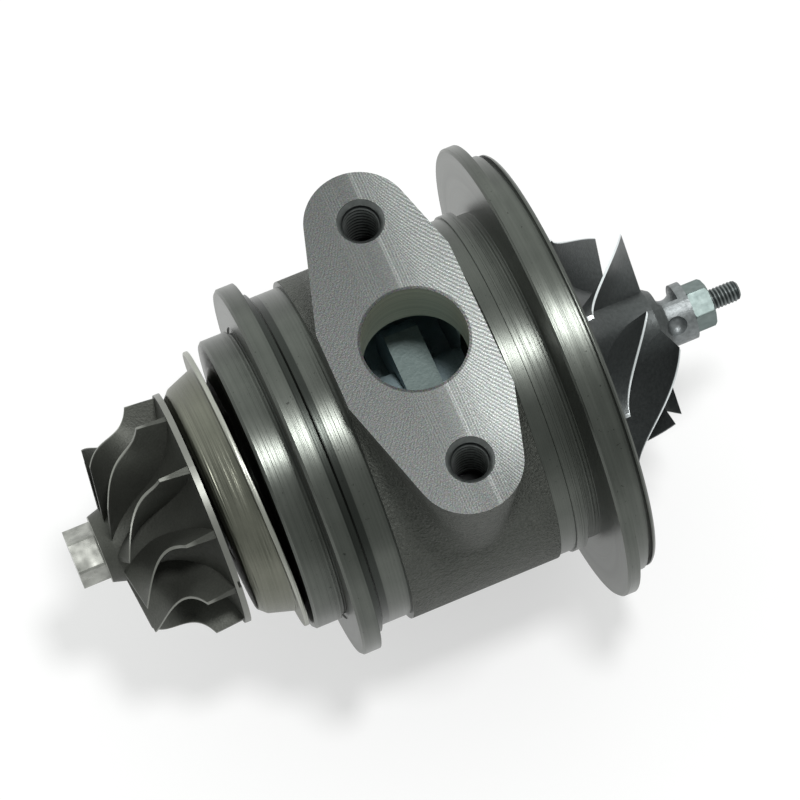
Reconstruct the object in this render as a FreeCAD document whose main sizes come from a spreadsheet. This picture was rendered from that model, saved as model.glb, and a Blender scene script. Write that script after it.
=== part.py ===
import FreeCAD, Part
import math
import os
import Sketcher

# Turbo cartridge: the centre housing of a small turbocharger with its rotor.
# +X runs along the shaft from the turbine wheel to the compressor wheel, +Z is the outward normal of the
# oil drain pad, and the origin is where the shaft axis meets the seating face of the compressor flange.
# Millimetres.
# An angle about the shaft is zero at +Z and grows towards +Y.

os.makedirs("parts", exist_ok=True)
doc = FreeCAD.newDocument("turbo_cartridge")

SIZES = {
    # turbine end of the housing
    "nose_end_x": -64.5,
    "nose_radius": 10.8,
    "nose_root_x": -58.4,
    "nose_cone_radius": 14.0,
    "turbine_face_x": -56.2,
    "turbine_pilot_radius": 27.9,
    "turbine_pilot_chamfer": 0.5,
    "turbine_flange_left_x": -50.1,
    "turbine_flange_right_x": -46.6,
    "turbine_flange_radius": 35.5,
    "turbine_undercut_width": 0.9,
    "turbine_undercut_depth": 0.6,
    "turbine_undercut_reach": 0.5,
    "turbine_undercut_relief": 0.3,
    "shield_step_x": -57.2,
    "shield_step_left_radius": 21.0,
    "shield_step_right_radius": 23.0,
    "clamp_taper_end_x": -44.8,
    "turbine_land_radius": 31.8,
    "turbine_land_end_x": -39.2,
    # cast middle of the housing
    "cast_radius": 32.8,
    "cast_end_x": -10.5,
    "compressor_land_radius": 32.4,
    "bead_start_x": -7.4,
    "bead_end_x": -5.3,
    "neck_radius": 31.6,
    # compressor end of the housing
    "compressor_flange_width": 2.3,
    "compressor_flange_radius": 43.8,
    "compressor_flange_chamfer": 0.4,
    "compressor_pilot_radius": 40.5,
    "cover_groove_left_x": 3.0,
    "cover_groove_right_x": 4.0,
    "cover_groove_radius": 39.0,
    "lip_radius": 40.2,
    "lip_chamfer": 0.4,
    "compressor_face_x": 4.7,
    # oil drain pad
    "drain_x": -23.9,
    "drain_face_z": 39.1,
    "drain_bore_radius": 9.4,
    "drain_bolt_spacing": 48.0,
    "drain_tap_radius": 3.4,
    "drain_tap_chamfer": 0.85,
    "drain_tap_depth": 16.0,
    "drain_outline_offset": -0.45,
    "drain_lug_radius": 9.6,
    "drain_middle_radius": 16.3,
    "drain_flat_reach": 12.85,
    "drain_boss_draft": 6.0,
    "drain_boss_fillet": 5.0,
    "drain_bore_overlap": 5.2,
    # oil inlet boss
    "inlet_x": -22.4,
    "inlet_face_z": -37.5,
    "inlet_boss_radius": 9.0,
    "inlet_boss_height": 12.0,
    "inlet_boss_fillet": 3.0,
    "inlet_tap_radius": 4.5,
    "inlet_tap_depth": 12.0,
    "inlet_drill_radius": 2.0,
    "gallery_z": -13.0,
    "gallery_radius": 1.5,
    "feed_radius": 1.2,
    # bores of the housing
    "nose_bore_radius": 9.05,
    "drain_gallery_left_x": -55.4,
    "drain_gallery_right_x": -53.5,
    "drain_gallery_radius": 12.5,
    "bearing_bore_radius": 5.94,
    "ring_groove_depth": 0.66,
    "thrust_pocket_x": -9.7,
    "thrust_pocket_radius": 8.5,
    "thrust_seat_x": -7.15,
    "thrust_seat_radius": 15.05,
    "insert_seat_x": -3.45,
    "insert_bore_radius": 26.0,
    # oil drain cavity
    "cavity_left_x": -39.4,
    "cavity_right_x": -12.9,
    "cavity_radius": 28.0,
    "cavity_angle": 210.0,
    "carrier_radius": 9.6,
    "carrier_rib_radius": 17.4,
    "carrier_rib_top_z": 12.0,
    "carrier_rib_left_x": -25.4,
    "carrier_rib_right_x": -18.9,
    "channel_half_width": 7.0,
    "channel_top_z": 19.0,
    "channel_bottom_z": 7.5,
    # journal bearings
    "journal_radius": 3.5,
    "journal_clearance": 0.025,
    "bearing_radius": 5.9,
    "bearing_length": 8.0,
    "bearing_end_float": 0.2,
    "bearing_oil_hole_radius": 0.7,
    "bearing_chamfer": 0.4,
    "turbine_bearing_x": -47.3,
    "compressor_bearing_x": -15.6,
    "snap_ring_width": 1.0,
    "snap_ring_side_clearance": 0.05,
    "snap_ring_inner_radius": 5.0,
    "snap_ring_gap": 3.0,
    # rotor shaft
    "shaft_left_x": -64.9,
    "seal_hub_radius": 8.75,
    "seal_hub_end_x": -56.1,
    "shaft_shoulder_radius": 5.0,
    "shaft_shoulder_start_x": -54.7,
    "shaft_shoulder_end_x": -53.9,
    "shaft_journal_start_x": -53.5,
    "shaft_waist_radius": 3.2,
    "shaft_waist_margin": 1.0,
    "thrust_shoulder_x": -9.4,
    "stem_radius": 2.1,
    "stem_fit": 0.02,
    "stud_radius": 1.75,
    "stud_end_x": 39.3,
    "stud_chamfer": 0.4,
    # turbine seal ring
    "turbine_seal_x": -62.1,
    "turbine_seal_width": 1.2,
    "seal_groove_clearance": 0.1,
    "turbine_seal_groove_radius": 7.6,
    "turbine_seal_inner_radius": 7.95,
    "seal_ring_fit": 0.02,
    "seal_ring_gap": 0.6,
    # thrust parts
    "thrust_collar_radius": 7.2,
    "thrust_collar_width": 2.2,
    "thrust_spacer_radius": 4.0,
    "thrust_bearing_width": 3.1,
    "thrust_end_float": 0.05,
    "thrust_bearing_bore_radius": 4.3,
    "thrust_seat_fit": 0.05,
    "thrust_pin_radius": 1.25,
    "thrust_pin_circle": 11.5,
    "thrust_pin_length": 4.6,
    "thrust_pin_fit": 0.02,
    "deflector_thickness": 0.5,
    "deflector_bore_radius": 8.2,
    "deflector_tongue_half_width": 5.25,
    "deflector_tongue_root": 2.0,
    "deflector_tongue_margin": 0.5,
    "flinger_disc_width": 1.7,
    "flinger_radius": 5.6,
    "compressor_seal_x": 0.2,
    "compressor_seal_width": 1.2,
    "compressor_seal_groove_radius": 4.5,
    "compressor_seal_inner_radius": 4.75,
    "insert_pocket_radius": 9.2,
    "insert_pocket_depth": 2.2,
    "insert_hub_bore_radius": 5.95,
    "insert_right_x": 2.3,
    "insert_fit": 0.04,
    "oring_groove_left_x": -1.6,
    "oring_groove_width": 2.0,
    "oring_groove_radius": 24.4,
    "oring_fit": 0.02,
    "retainer_width": 1.1,
    "retainer_clearance": 0.05,
    "retainer_groove_radius": 27.2,
    "retainer_inner_radius": 24.2,
    "retainer_gap": 9.0,
    # heat shield
    "shield_face_x": -65.1,
    "shield_thickness": 0.9,
    "shield_bore_radius": 11.3,
    "shield_face_radius": 20.6,
    "shield_shoulder_radius": 22.1,
    "shield_shoulder_x": -63.6,
    "shield_wall_end_x": -58.6,
    "shield_wall_end_radius": 23.8,
    "shield_rim_x": -58.07,
    "shield_rim_radius": 27.0,
    "shield_tilt": 2.3,
    "shield_tilt_towards": 38.6,
    # both bladed wheels
    "blade_sink": 0.5,
    # turbine wheel
    "turbine_blades": 11,
    "turbine_first_blade": -0.4,
    "turbine_rim_radius": 22.1,
    "turbine_back_x": -66.2,
    "turbine_rim_width": 1.1,
    "turbine_tip_left_x": -72.9,
    "turbine_exit_tip_x": -82.9,
    "turbine_exit_tip_radius": 17.8,
    "turbine_exit_hub_x": -84.1,
    "turbine_exit_hub_radius": 7.0,
    "turbine_hub_start_lean": 1.3,
    "turbine_hub_start_radius": 13.7,
    "turbine_hub_end_reach": 10.1,
    "turbine_hub_end_radius": 8.05,
    "turbine_shroud_lean": 1.6,
    "turbine_shroud_margin": 0.6,
    "turbine_shroud_reach": 4.0,
    "turbine_wrap_start_x": -74.4,
    "turbine_wrap": 32.0,
    "turbine_wrap_power": 2.27,
    "turbine_tip_thickness": 0.55,
    "turbine_root_thickness": 1.5,
    "turbine_collar_radius": 6.3,
    "turbine_collar_end_x": -86.5,
    "turbine_drive_end_x": -91.6,
    "turbine_drive_flats": 9.7,
    "turbine_drive_corner_radius": 5.45,
    "turbine_drive_turn": 12.0,
    "balance_notch_angle": -62.0,
    "balance_notch_width": 1.6,
    "balance_notch_depth": 0.8,
    # compressor wheel
    "compressor_full_blades": 4,
    "compressor_first_blade": 51.5,
    "compressor_back_x": 4.0,
    "compressor_hub_left_x": 3.0,
    "compressor_hub_back_radius": 6.5,
    "compressor_exit_radius": 24.7,
    "compressor_exit_disc_x": 4.9,
    "compressor_exit_tip_x": 8.5,
    "compressor_inlet_x": 21.9,
    "compressor_inlet_radius": 18.3,
    "compressor_inlet_hub_radius": 7.0,
    "compressor_hub_start_lean": 1.4,
    "compressor_hub_start_radius": 14.1,
    "compressor_hub_end_reach": 8.3,
    "compressor_hub_end_radius": 7.3,
    "compressor_shroud_reach": 3.65,
    "compressor_shroud_lean": 0.8,
    "compressor_shroud_depth": 4.5,
    "compressor_wrap_first": 90.3,
    "compressor_wrap_second": -31.4,
    "compressor_splitter_start": 0.23,
    "compressor_tip_thickness": 0.6,
    "compressor_root_thickness": 1.4,
    "compressor_nose_x": 24.1,
    "compressor_nose_radius": 5.5,
    "compressor_end_x": 29.1,
    "balance_cut_x": 25.3,
    "balance_cut_ring": 5.4,
    "balance_cut_radius": 2.0,
    "balance_cut_from": 8.0,
    "balance_cut_sweep": 115.0,
    "balance_pit_angle": -42.0,
    "balance_pit_centre": 6.0,
    "balance_pit_radius": 2.0,
    # nut
    "nut_width": 4.2,
    "nut_flats": 8.0,
    "nut_chamfer_radius": 4.2,
    "nut_turn": 15.0,
}

sheet = doc.addObject("Spreadsheet::Sheet", "Sizes")
for row, (alias, value) in enumerate(SIZES.items(), start=1):
    sheet.set(f"A{row}", alias)
    sheet.set(f"B{row}", str(value))
    sheet.setAlias(f"B{row}", alias)
doc.recompute()


class Size:
    """A number worked out from sheet cells, kept beside the expression that gives it."""

    def __init__(self, value, text):
        self.value = value
        self.text = text

    def joined(self, other, sign, value):
        return Size(value, f"({self.text} {sign} {other.text})")

    def __add__(self, other):
        return self.joined(other, "+", self.value + other.value)

    def __sub__(self, other):
        return self.joined(other, "-", self.value - other.value)

    def __mul__(self, factor):
        return Size(self.value * factor, f"({self.text} * {factor})")

    def __neg__(self):
        return Size(-self.value, f"(0 - {self.text})")

    def least(self, other):
        return Size(min(self.value, other.value), f"min({self.text}; {other.text})")


class Cells:
    """The cells of the sheet by name, each as a Size."""

    def __getattr__(self, alias):
        return Size(float(getattr(sheet, alias)), f"Sizes.{alias}")


cell = Cells()
ZERO = Size(0.0, "0")


# Drawing helpers

def tie(thing, path, size):
    thing.setExpression(path, size.text)


def new_body(label):
    body = doc.addObject("PartDesign::Body", label)
    body.Label = label
    return body


def origin_feature(body, role):
    return next(item for item in body.Origin.OriginFeatures if item.Role == role)


def new_sketch(body, plane, name, offset=None, along=None):
    """A sketch on an origin plane of its body, moved off the plane or along its own first axis."""
    sketch = body.newObject("Sketcher::SketchObject", name)
    sketch.AttachmentSupport = [(origin_feature(body, plane), "")]
    sketch.MapMode = "FlatFace"
    for axis, size in (("x", along), ("z", offset)):
        if size is not None:
            tie(sketch, f"AttachmentOffset.Base.{axis}", size)
    return sketch


def place_point(sketch, line, point, x, y):
    """Tie one point of a sketch to its two sizes, or to an axis where a size is zero."""
    for kind, axis, size in (("DistanceX", -2, x), ("DistanceY", -1, y)):
        if size is ZERO:
            sketch.addConstraint(Sketcher.Constraint("PointOnObject", line, point, axis))
        else:
            index = sketch.addConstraint(Sketcher.Constraint(kind, line, point, size.value))
            tie(sketch, f"Constraints[{index}]", size)


def draw_outline(sketch, corners):
    """A closed outline of straight lines, each corner tied to its sizes."""
    first = sketch.GeometryCount
    count = len(corners)
    points = [FreeCAD.Vector(x.value, y.value, 0) for x, y in corners]
    for here, there in zip(points, points[1:] + points[:1]):
        sketch.addGeometry(Part.LineSegment(here, there), False)
    for step, (x, y) in enumerate(corners):
        following = first + (step + 1) % count
        sketch.addConstraint(Sketcher.Constraint("Coincident", first + step, 2, following, 1))
        place_point(sketch, first + step, 1, x, y)


def draw_circle(sketch, x, y, radius):
    index = sketch.addGeometry(Part.Circle(FreeCAD.Vector(x.value, y.value, 0),
                                           FreeCAD.Vector(0, 0, 1), radius.value), False)
    place_point(sketch, index, 3, x, y)
    bound = sketch.addConstraint(Sketcher.Constraint("Radius", index, radius.value))
    tie(sketch, f"Constraints[{bound}]", radius)


def turn(body, name, corners, kind="PartDesign::Revolution", angle=None):
    """Revolve an outline of (x, radius) corners about the shaft axis, or cut it away as a groove."""
    sketch = new_sketch(body, "XZ_Plane", name + "_profile")
    draw_outline(sketch, corners)
    feature = body.newObject(kind, name)
    feature.Profile = sketch
    feature.ReferenceAxis = (sketch, ["H_Axis"])
    feature.Angle = 360
    if angle is not None:
        tie(feature, "Angle", angle)
        feature.Midplane = True
    return feature


def extrude(body, kind, name, sketch, length, backwards=False):
    """Pad or pocket a sketch by a length."""
    feature = body.newObject(kind, name)
    feature.Profile = sketch
    feature.Length = abs(length.value)
    tie(feature, "Length", length)
    feature.Reversed = backwards
    return feature


def turned_piece(label, corners):
    body = new_body(label)
    turn(body, label + "_turning", corners)
    return body


def ring(label, left_x, right_x, inner, outer):
    """Corners of a plain ring."""
    return turned_piece(label, [(left_x, inner), (left_x, outer), (right_x, outer), (right_x, inner)])


def around(x, radius, degrees):
    """The point at a place along the shaft, a radius and an angle about the shaft."""
    turned = math.radians(degrees)
    return FreeCAD.Vector(x, radius * math.sin(turned), radius * math.cos(turned))


def bezier(ends, share):
    """Point (x, radius) on a cubic curve through four control points."""
    rest = 1 - share
    weights = (rest ** 3, 3 * rest ** 2 * share, 3 * rest * share ** 2, share ** 3)
    return tuple(sum(w * end[i] for w, end in zip(weights, ends)) for i in (0, 1))


# Bearing housing: one iron casting. The outside is turned for the two clamp flanges and pilots, the pad and
# the oil inlet boss stand on it, and the bores, the oil cavity and the drillings are cut into it.

def draw_drain_pad(sketch):
    """Two lugs round the bolt holes and a round middle joined by tangents, cut straight at the +X side."""
    middle, lug = cell.drain_middle_radius.value, cell.drain_lug_radius.value
    reach, flat = cell.drain_bolt_spacing.value / 2, cell.drain_flat_reach.value
    lean = math.asin((middle - lug) / reach)
    up = FreeCAD.Vector(0, 0, 1)

    def on_circle(centre_y, radius, angle):
        return FreeCAD.Vector(radius * math.cos(angle), centre_y + radius * math.sin(angle), 0)

    def arc(centre_y, radius, start, end):
        circle = Part.Circle(FreeCAD.Vector(0, centre_y, 0), up, radius)
        return sketch.addGeometry(Part.ArcOfCircle(circle, start, end), False)

    def line(start, end):
        return sketch.addGeometry(Part.LineSegment(start, end), False)

    upper_start, upper_end = on_circle(reach, lug, lean), on_circle(reach, lug, math.pi - lean)
    lower_start, lower_end = on_circle(-reach, lug, math.pi + lean), on_circle(-reach, lug, -lean)
    left_top, left_bottom = on_circle(0, middle, math.pi - lean), on_circle(0, middle, math.pi + lean)
    rise = upper_start.y - (flat - upper_start.x) / math.tan(lean)
    flat_top, flat_bottom = FreeCAD.Vector(flat, rise, 0), FreeCAD.Vector(flat, -rise, 0)

    upper = arc(reach, lug, lean, math.pi - lean)
    upper_left = line(upper_end, left_top)
    left = arc(0, middle, math.pi - lean, math.pi + lean)
    lower_left = line(left_bottom, lower_start)
    lower = arc(-reach, lug, math.pi + lean, 2 * math.pi - lean)
    lower_right = line(lower_end, flat_bottom)
    side = line(flat_bottom, flat_top)
    upper_right = line(flat_top, upper_start)
    for one, one_end, other, other_end in ((upper, 2, upper_left, 1), (left, 1, upper_left, 2),
                                           (left, 2, lower_left, 1), (lower, 1, lower_left, 2),
                                           (lower, 2, lower_right, 1), (upper, 1, upper_right, 2)):
        sketch.addConstraint(Sketcher.Constraint("Tangent", one, one_end, other, other_end))
    sketch.addConstraint(Sketcher.Constraint("Coincident", lower_right, 2, side, 1))
    sketch.addConstraint(Sketcher.Constraint("Coincident", side, 2, upper_right, 1))
    sketch.addConstraint(Sketcher.Constraint("Vertical", side))
    half = cell.drain_bolt_spacing * 0.5
    for index, centre, radius in ((upper, half, cell.drain_lug_radius), (lower, -half, cell.drain_lug_radius),
                                  (left, ZERO, cell.drain_middle_radius)):
        place_point(sketch, index, 3, ZERO, centre)
        bound = sketch.addConstraint(Sketcher.Constraint("Radius", index, radius.value))
        tie(sketch, f"Constraints[{bound}]", radius)
    bound = sketch.addConstraint(Sketcher.Constraint("DistanceX", side, 1, flat))
    tie(sketch, f"Constraints[{bound}]", cell.drain_flat_reach)
    # the right-hand tangents mirror the left-hand ones about the middle circle, which the flat cuts off
    guide = sketch.addGeometry(Part.Circle(FreeCAD.Vector(0, 0, 0), up, middle), True)
    sketch.addConstraint(Sketcher.Constraint("Coincident", guide, 3, left, 3))
    sketch.addConstraint(Sketcher.Constraint("Equal", guide, left))
    sketch.addConstraint(Sketcher.Constraint("Tangent", lower_right, guide))
    sketch.addConstraint(Sketcher.Constraint("Tangent", upper_right, guide))


def ring_groove_edges(centre_x):
    """Left and right ends of the two snap ring grooves beside a bearing, from left to right."""
    half = (cell.bearing_length + cell.bearing_end_float) * 0.5
    width = cell.snap_ring_width + cell.snap_ring_side_clearance * 2
    return ((centre_x - half - width, centre_x - half), (centre_x + half, centre_x + half + width))


def housing_outside(body):
    edge = cell.turbine_pilot_chamfer
    rim = cell.compressor_flange_chamfer
    lip = cell.lip_chamfer
    undercut_left = cell.turbine_flange_left_x - cell.turbine_undercut_width
    undercut = cell.turbine_pilot_radius - cell.turbine_undercut_depth
    seat = cell.turbine_pilot_radius + cell.turbine_undercut_reach
    turn(body, "housing_turning", [
        (cell.nose_end_x, ZERO),
        (cell.nose_end_x, cell.nose_radius),
        (cell.nose_root_x, cell.nose_radius),
        (cell.shield_step_x, cell.nose_cone_radius),
        (cell.shield_step_x, cell.shield_step_left_radius),
        (cell.turbine_face_x, cell.shield_step_right_radius),
        (cell.turbine_face_x, cell.turbine_pilot_radius - edge),
        (cell.turbine_face_x + edge, cell.turbine_pilot_radius),
        (undercut_left, cell.turbine_pilot_radius),
        (undercut_left, undercut),
        (cell.turbine_flange_left_x + cell.turbine_undercut_relief, undercut),
        (cell.turbine_flange_left_x + cell.turbine_undercut_relief, seat),
        (cell.turbine_flange_left_x, seat),
        (cell.turbine_flange_left_x, cell.turbine_flange_radius - edge),
        (cell.turbine_flange_left_x + edge, cell.turbine_flange_radius),
        (cell.turbine_flange_right_x, cell.turbine_flange_radius),
        (cell.turbine_flange_right_x, cell.cast_radius),
        (-cell.compressor_flange_width, cell.cast_radius),
        (-cell.compressor_flange_width, cell.compressor_flange_radius - rim),
        (rim - cell.compressor_flange_width, cell.compressor_flange_radius),
        (ZERO, cell.compressor_flange_radius),
        (ZERO, cell.compressor_pilot_radius),
        (cell.cover_groove_left_x, cell.compressor_pilot_radius),
        (cell.cover_groove_left_x, cell.cover_groove_radius),
        (cell.cover_groove_right_x, cell.cover_groove_radius),
        (cell.cover_groove_right_x, cell.lip_radius),
        (cell.compressor_face_x - lip, cell.lip_radius),
        (cell.compressor_face_x, cell.lip_radius - lip),
        (cell.compressor_face_x, ZERO),
    ])


def round_root(body, boss, radius, height, side):
    """Fillet between a boss and the cast cylinder that it stands on, side being +1 above the shaft. The wall of
    the boss, height tall, limits the fillet."""
    doc.recompute()
    wall_share = 0.8
    cast, near = cell.cast_radius.value, 0.01
    left, right = cell.turbine_flange_right_x.value, -cell.compressor_flange_width.value
    roots = []
    for number, edge in enumerate(boss.Shape.Edges, start=1):
        first, last = edge.ParameterRange
        places = [edge.valueAt(first + (last - first) * share) for share in (0.1, 0.5, 0.9)]
        on_cylinder = all(abs(math.hypot(place.y, place.z) - cast) < near for place in places)
        between_flanges = left + near < places[1].x < right - near
        on_seam = all(abs(place.y) < near for place in places)
        if on_cylinder and between_flanges and side * places[1].z > 0 and not on_seam:
            roots.append(f"Edge{number}")
    fillet = body.newObject("PartDesign::Fillet", boss.Name + "_root")
    fillet.Base = (boss, roots)
    tie(fillet, "Radius", radius.least(height * wall_share))
    doc.recompute()


def housing_bosses(body):
    """The drain boss runs down into the casting as far as the shaft, so its lugs blend into the side."""
    pad = new_sketch(body, "XY_Plane", "drain_pad_outline", cell.drain_face_z,
                     cell.drain_x + cell.drain_outline_offset)
    draw_drain_pad(pad)
    boss = extrude(body, "PartDesign::Pad", "drain_boss", pad, cell.drain_face_z, backwards=True)
    tie(boss, "TaperAngle", -cell.drain_boss_draft)
    round_root(body, boss, cell.drain_boss_fillet, cell.drain_face_z - cell.cast_radius, 1)
    outline = new_sketch(body, "XY_Plane", "inlet_boss_outline", cell.inlet_face_z)
    draw_circle(outline, cell.inlet_x, ZERO, cell.inlet_boss_radius)
    inlet = extrude(body, "PartDesign::Pad", "inlet_boss", outline, cell.inlet_boss_height)
    round_root(body, inlet, cell.inlet_boss_fillet, -cell.inlet_face_z - cell.cast_radius, -1)


def housing_lands(body):
    """Turned bands beside the two flanges, cut into the casting and into the sides of the drain boss."""
    clear = cell.drain_face_z + cell.drain_bolt_spacing
    turn(body, "turbine_land", [
        (cell.turbine_flange_right_x, clear),
        (cell.turbine_flange_right_x, cell.turbine_flange_radius),
        (cell.clamp_taper_end_x, cell.turbine_land_radius),
        (cell.turbine_land_end_x, cell.turbine_land_radius),
        (cell.turbine_land_end_x, clear),
    ], "PartDesign::Groove")
    turn(body, "compressor_land", [
        (cell.cast_end_x, clear),
        (cell.cast_end_x, cell.compressor_land_radius),
        (cell.bead_start_x, cell.compressor_land_radius),
        (cell.bead_start_x, cell.cast_radius),
        (cell.bead_end_x, cell.cast_radius),
        (cell.bead_end_x, cell.neck_radius),
        (-cell.compressor_flange_width, cell.neck_radius),
        (-cell.compressor_flange_width, clear),
    ], "PartDesign::Groove")


def housing_bores(body):
    bore = cell.bearing_bore_radius
    groove = bore + cell.ring_groove_depth
    outline = [(cell.nose_end_x, ZERO), (cell.nose_end_x, cell.nose_bore_radius),
               (cell.drain_gallery_left_x, cell.nose_bore_radius),
               (cell.drain_gallery_left_x, cell.drain_gallery_radius),
               (cell.drain_gallery_right_x, cell.drain_gallery_radius),
               (cell.drain_gallery_right_x, bore)]
    for centre_x in (cell.turbine_bearing_x, cell.compressor_bearing_x):
        for left, right in ring_groove_edges(centre_x):
            outline += [(left, bore), (left, groove), (right, groove), (right, bore)]
    retainer_right = cell.insert_right_x + cell.retainer_width + cell.retainer_clearance * 2
    outline += [(cell.thrust_pocket_x, bore), (cell.thrust_pocket_x, cell.thrust_pocket_radius),
                (cell.thrust_seat_x, cell.thrust_pocket_radius),
                (cell.thrust_seat_x, cell.thrust_seat_radius),
                (cell.insert_seat_x, cell.thrust_seat_radius), (cell.insert_seat_x, cell.insert_bore_radius),
                (cell.insert_right_x, cell.insert_bore_radius),
                (cell.insert_right_x, cell.retainer_groove_radius),
                (retainer_right, cell.retainer_groove_radius), (retainer_right, cell.insert_bore_radius),
                (cell.compressor_face_x, cell.insert_bore_radius), (cell.compressor_face_x, ZERO)]
    turn(body, "housing_boring", outline, "PartDesign::Groove")


def housing_oil_ways(body):
    rib_left, rib_right = cell.carrier_rib_left_x, cell.carrier_rib_right_x
    turn(body, "drain_cavity", [
        (cell.cavity_left_x, cell.carrier_radius), (rib_left, cell.carrier_radius),
        (rib_left, cell.carrier_rib_radius), (rib_right, cell.carrier_rib_radius),
        (rib_right, cell.carrier_radius), (cell.cavity_right_x, cell.carrier_radius),
        (cell.cavity_right_x, cell.cavity_radius), (cell.cavity_left_x, cell.cavity_radius),
    ], "PartDesign::Groove", cell.cavity_angle)

    top = new_sketch(body, "XY_Plane", "carrier_rib_top_outline", cell.carrier_rib_radius)
    wide = cell.carrier_rib_radius
    draw_outline(top, [(rib_left, -wide), (rib_right, -wide), (rib_right, wide), (rib_left, wide)])
    extrude(body, "PartDesign::Pocket", "carrier_rib_top", top,
            cell.carrier_rib_radius - cell.carrier_rib_top_z)

    half = cell.channel_half_width
    channel_height = cell.channel_top_z - cell.channel_bottom_z
    for name, left, right in (("turbine_drain_channel", cell.drain_gallery_left_x, cell.cavity_left_x),
                              ("compressor_drain_channel", cell.cavity_right_x, cell.insert_seat_x)):
        channel = new_sketch(body, "XY_Plane", name + "_outline", cell.channel_top_z)
        draw_outline(channel, [(left, -half), (right, -half), (right, half), (left, half)])
        extrude(body, "PartDesign::Pocket", name, channel, channel_height)

    bore = new_sketch(body, "XY_Plane", "drain_bore_outline", cell.drain_face_z, cell.drain_x)
    draw_circle(bore, ZERO, ZERO, cell.drain_bore_radius)
    extrude(body, "PartDesign::Pocket", "drain_bore", bore,
            cell.drain_face_z - cell.cavity_radius + cell.drain_bore_overlap)

    inlet = new_sketch(body, "XY_Plane", "inlet_tap_outline", cell.inlet_face_z)
    draw_circle(inlet, cell.inlet_x, ZERO, cell.inlet_tap_radius)
    extrude(body, "PartDesign::Pocket", "inlet_tap", inlet, cell.inlet_tap_depth, backwards=True)
    drill = new_sketch(body, "XY_Plane", "inlet_drill_outline", cell.inlet_face_z)
    draw_circle(drill, cell.inlet_x, ZERO, cell.inlet_drill_radius)
    extrude(body, "PartDesign::Pocket", "inlet_drill", drill,
            cell.gallery_z - cell.inlet_face_z, backwards=True)

    gallery = new_sketch(body, "YZ_Plane", "oil_gallery_outline", cell.thrust_seat_x)
    draw_circle(gallery, ZERO, cell.gallery_z, cell.gallery_radius)
    extrude(body, "PartDesign::Pocket", "oil_gallery", gallery,
            cell.thrust_seat_x - cell.turbine_bearing_x + cell.gallery_radius)
    feeds = new_sketch(body, "XY_Plane", "bearing_feed_outlines")
    for centre_x in (cell.turbine_bearing_x, cell.compressor_bearing_x):
        draw_circle(feeds, centre_x, ZERO, cell.feed_radius)
    extrude(body, "PartDesign::Pocket", "bearing_feeds", feeds, -cell.gallery_z)


def drain_bolt_holes(body):
    """Two tapped holes, with a chamfer at the mouth of each."""
    half = cell.drain_bolt_spacing * 0.5
    taps = new_sketch(body, "XY_Plane", "drain_tap_outlines", cell.drain_face_z, cell.drain_x)
    for centre_y in (half, -half):
        draw_circle(taps, ZERO, centre_y, cell.drain_tap_radius)
    extrude(body, "PartDesign::Pocket", "drain_taps", taps, cell.drain_tap_depth)
    mouths = new_sketch(body, "XY_Plane", "drain_tap_mouth_outlines", cell.drain_face_z, cell.drain_x)
    for centre_y in (half, -half):
        draw_circle(mouths, ZERO, centre_y, cell.drain_tap_radius + cell.drain_tap_chamfer)
    countersink = extrude(body, "PartDesign::Pocket", "drain_tap_mouths", mouths, cell.drain_tap_chamfer)
    countersink.TaperAngle = -45


def thrust_pin_sketch(body, name, radius, offset=None):
    sketch = new_sketch(body, "YZ_Plane", name, offset)
    for centre_y in (cell.thrust_pin_circle, -cell.thrust_pin_circle):
        draw_circle(sketch, centre_y, ZERO, radius)
    return sketch


def bearing_housing():
    body = new_body("bearing_housing")
    housing_outside(body)
    housing_bosses(body)
    housing_lands(body)
    housing_bores(body)
    housing_oil_ways(body)
    drain_bolt_holes(body)
    holes = thrust_pin_sketch(body, "thrust_pin_holes_outline", cell.thrust_pin_radius, cell.thrust_seat_x)
    extrude(body, "PartDesign::Pocket", "thrust_pin_holes", holes,
            cell.thrust_pin_length - cell.thrust_bearing_width)
    return body


# Floating journal bearings: bronze bushes with oil holes, each held endwise between two snap rings.

def journal_bearing(label, centre_x):
    half = cell.bearing_length * 0.5
    inner = cell.journal_radius + cell.journal_clearance
    edge = cell.bearing_chamfer
    left, right = centre_x - half, centre_x + half
    body = turned_piece(label, [
        (left, inner), (left, cell.bearing_radius - edge), (left + edge, cell.bearing_radius),
        (right - edge, cell.bearing_radius), (right, cell.bearing_radius - edge), (right, inner)])
    hole = new_sketch(body, "XY_Plane", label + "_oil_hole_outline")
    draw_circle(hole, centre_x, ZERO, cell.bearing_oil_hole_radius)
    drilled = extrude(body, "PartDesign::Pocket", label + "_oil_hole", hole, cell.bearing_radius * 2,
                      backwards=True)
    pattern = body.newObject("PartDesign::PolarPattern", label + "_oil_holes")
    pattern.Originals = [drilled]
    pattern.Axis = (hole, ["H_Axis"])
    pattern.Angle = 360
    pattern.Occurrences = 4
    body.Tip = pattern
    return body


def split_ring(name, left_x, width, inner, outer, gap):
    """A ring with its ends apart at +Z, cut from two cylinders and a block."""
    solids = []
    for part, radius in (("outside", outer), ("inside", inner)):
        cylinder = doc.addObject("Part::Cylinder", f"{name}_{part}")
        tie(cylinder, "Radius", radius)
        tie(cylinder, "Height", width)
        cylinder.Placement = FreeCAD.Placement(FreeCAD.Vector(left_x.value, 0, 0),
                                               FreeCAD.Rotation(FreeCAD.Vector(0, 1, 0), 90))
        tie(cylinder, "Placement.Base.x", left_x)
        solids.append(cylinder)
    opening = doc.addObject("Part::Box", name + "_opening")
    tie(opening, "Length", width)
    tie(opening, "Width", gap)
    tie(opening, "Height", outer + outer)
    tie(opening, "Placement.Base.x", left_x)
    tie(opening, "Placement.Base.y", -gap * 0.5)
    ring_body = doc.addObject("Part::Cut", name + "_ring")
    ring_body.Base, ring_body.Tool = solids
    split = doc.addObject("Part::Cut", name)
    split.Base, split.Tool = ring_body, opening
    split.Label = name
    return split


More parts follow.
